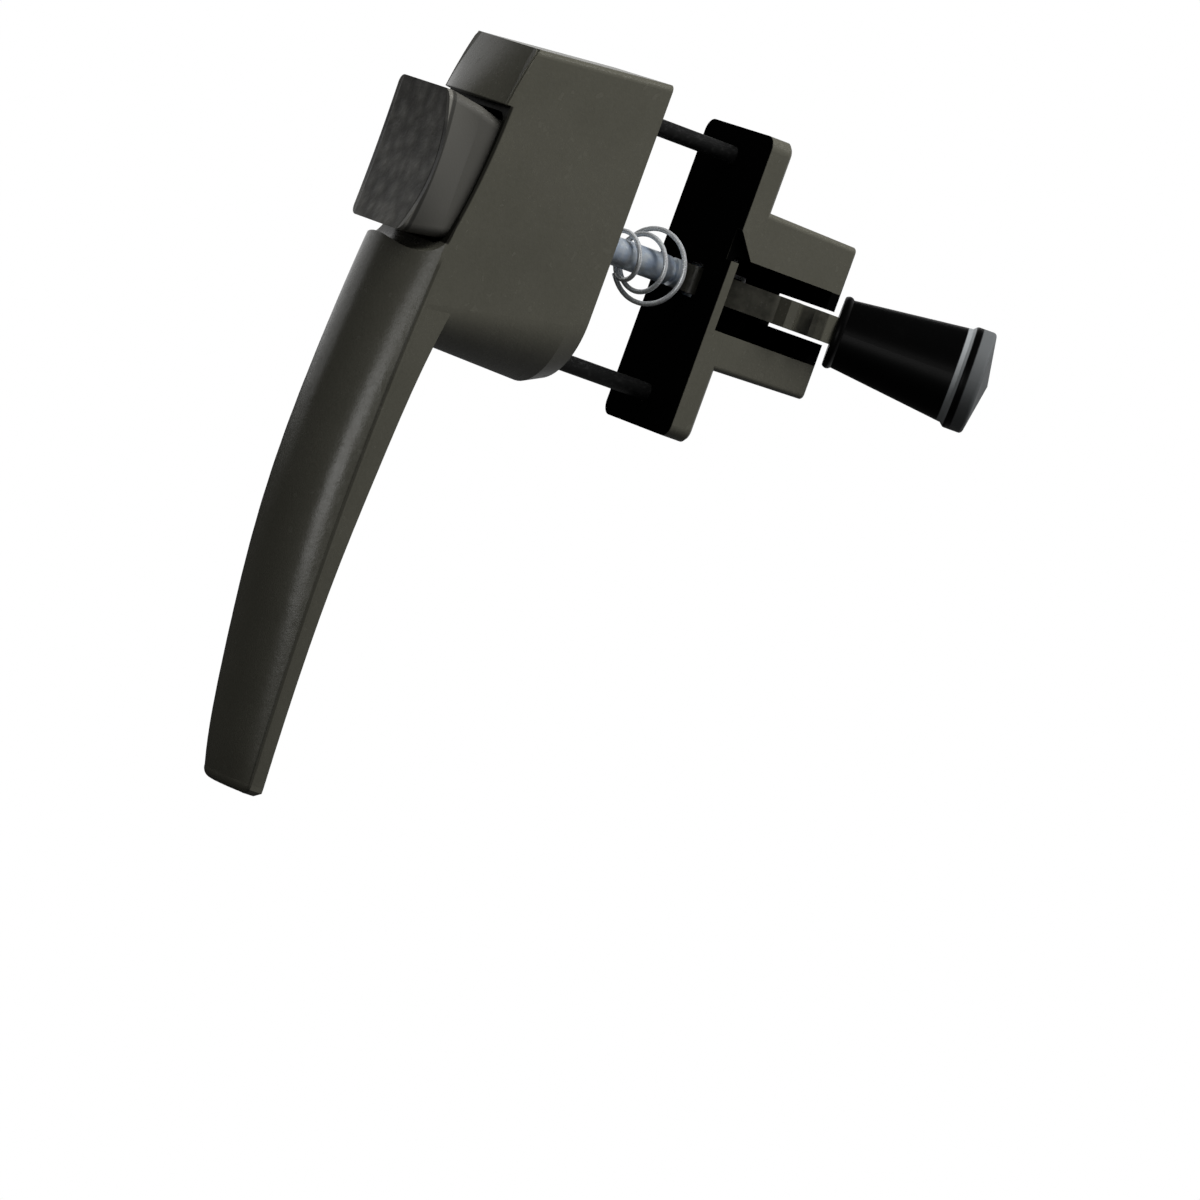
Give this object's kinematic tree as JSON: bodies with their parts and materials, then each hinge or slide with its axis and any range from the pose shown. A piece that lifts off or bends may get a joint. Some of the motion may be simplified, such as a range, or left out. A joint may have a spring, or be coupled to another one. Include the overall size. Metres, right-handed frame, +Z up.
{
  "type": "screen door latch",
  "caption": "Push-button screen door latch: long outside pull with thumb button, sprung spindle through the door, inside case with latch lever and flared knob.",
  "frame": {"origin": "the point on the door's outside face midway between the two mounting screws", "axes": "+Z up the door, +Y from the outside through the door to the room, +X across the door to the jamb"},
  "size_m": [0.0446, 0.1166, 0.1408],
  "materials": {
    "bronze_paint": "satin dark brown-grey paint on die-cast zinc",
    "button_paint": "dark grey paint, pebbled on the thumb face",
    "zinc_plate": "bright zinc plate",
    "spring_wire": "bright drawn wire",
    "black_screw": "black oxide",
    "knob_black": "glossy black"
  },
  "bodies": {
    "housing": {"outside_handle": "bronze_paint", "upper_mounting_screw": "black_screw", "lower_mounting_screw": "black_screw", "inside_case": "bronze_paint", "pivot_pin": "zinc_plate", "spindle_spring": "spring_wire", "lever_spring": "spring_wire"},
    "button": {"push_button": "button_paint", "spindle": "zinc_plate", "retaining_ring": "zinc_plate", "spring_washer": "zinc_plate"},
    "lever": {"latch_lever": "bronze_paint", "knob": "knob_black"}
  },
  "joints": [
    {"name": "button_press", "type": "slide", "parent": "housing", "child": "button", "axis": [0, 1, 0], "range_m": [0, 0.0042], "stiffness_N_per_m": 700, "springref_m": -0.004, "deforming": ["spindle_spring"]},
    {"name": "lever_pivot", "type": "hinge", "parent": "housing", "child": "lever", "pos_m": [-0.0074, 0.0266, 0], "axis": [0, 0, 1], "range_deg": [0, 32.6], "stiffness_Nm_per_rad": 0.02, "springref_deg": -28.65, "deforming": ["lever_spring"]}
  ],
  "couplings": [
    {"joint": "lever_pivot", "follows": "button_press", "rad_per_m": 135.13}
  ]
}
